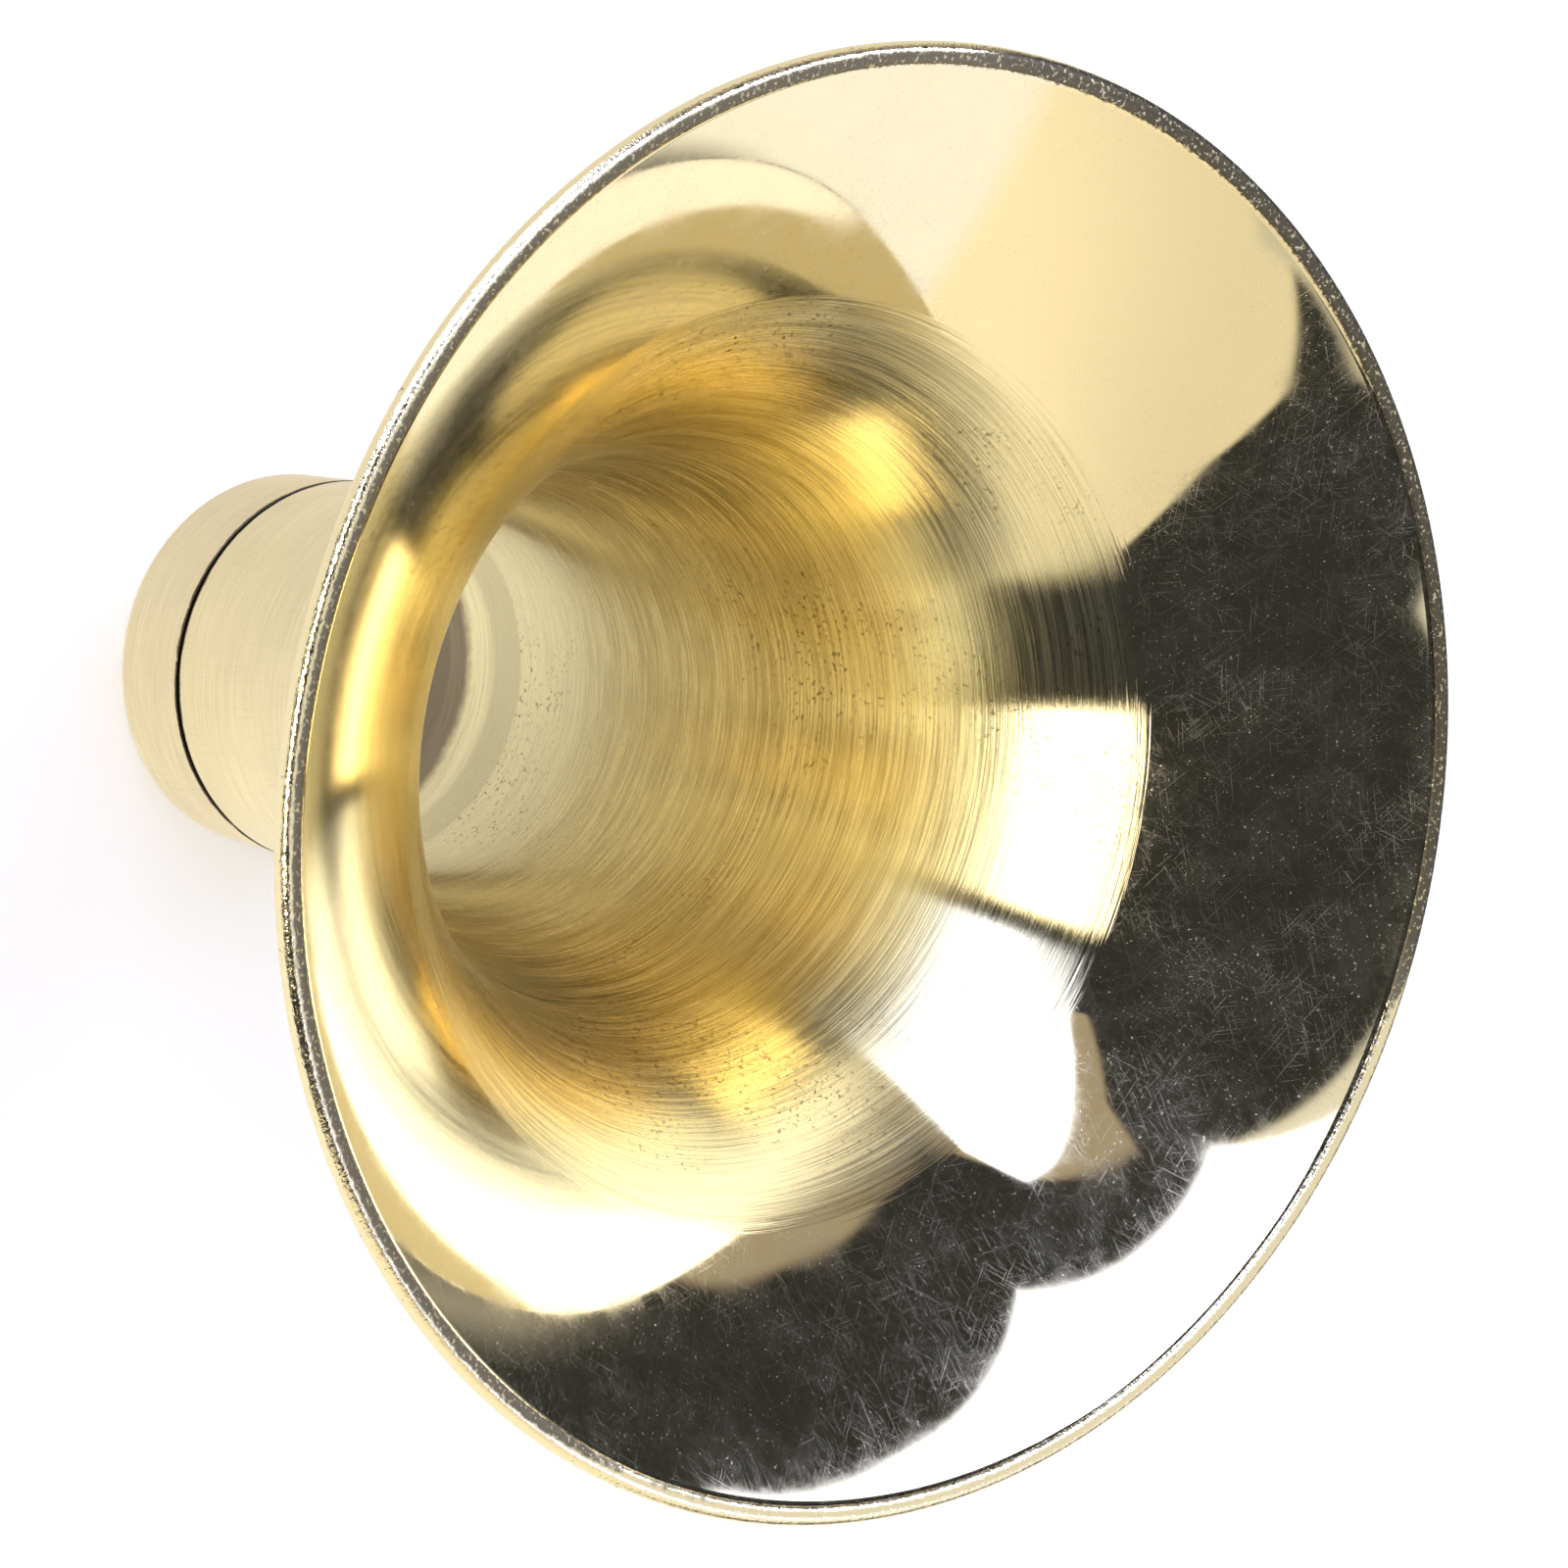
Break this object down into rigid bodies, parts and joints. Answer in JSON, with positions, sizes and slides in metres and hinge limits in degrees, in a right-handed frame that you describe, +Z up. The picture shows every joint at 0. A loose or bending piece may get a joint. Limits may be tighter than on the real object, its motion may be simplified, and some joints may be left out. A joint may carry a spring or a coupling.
{
  "type": "horn bell",
  "caption": "Detached brass horn bell: a wide flare with a wired, rolled rim, a tapering throat and a short neck with a soldered ferrule that takes the horn's tube.",
  "frame": {"origin": "centre of the ferrule's end face, the face the bell stands on", "axes": "+Z up along the bell's axis, from the ferrule to the mouth; the bell is round, so X and Y are free"},
  "size_m": [0.12, 0.12, 0.0928],
  "materials": {
    "bell_brass": "mirror polished flare, lathe-brushed throat, satin neck",
    "ferrule_brass": "satin, turned",
    "solder": "tarnished soft solder",
    "wire_steel": "drawn wire, hidden in the rim"
  },
  "bodies": {
    "root": {"bell_flare": "bell_brass", "rim_wire": "wire_steel", "neck_ferrule": "ferrule_brass", "solder_seam": "solder"}
  },
  "joints": []
}
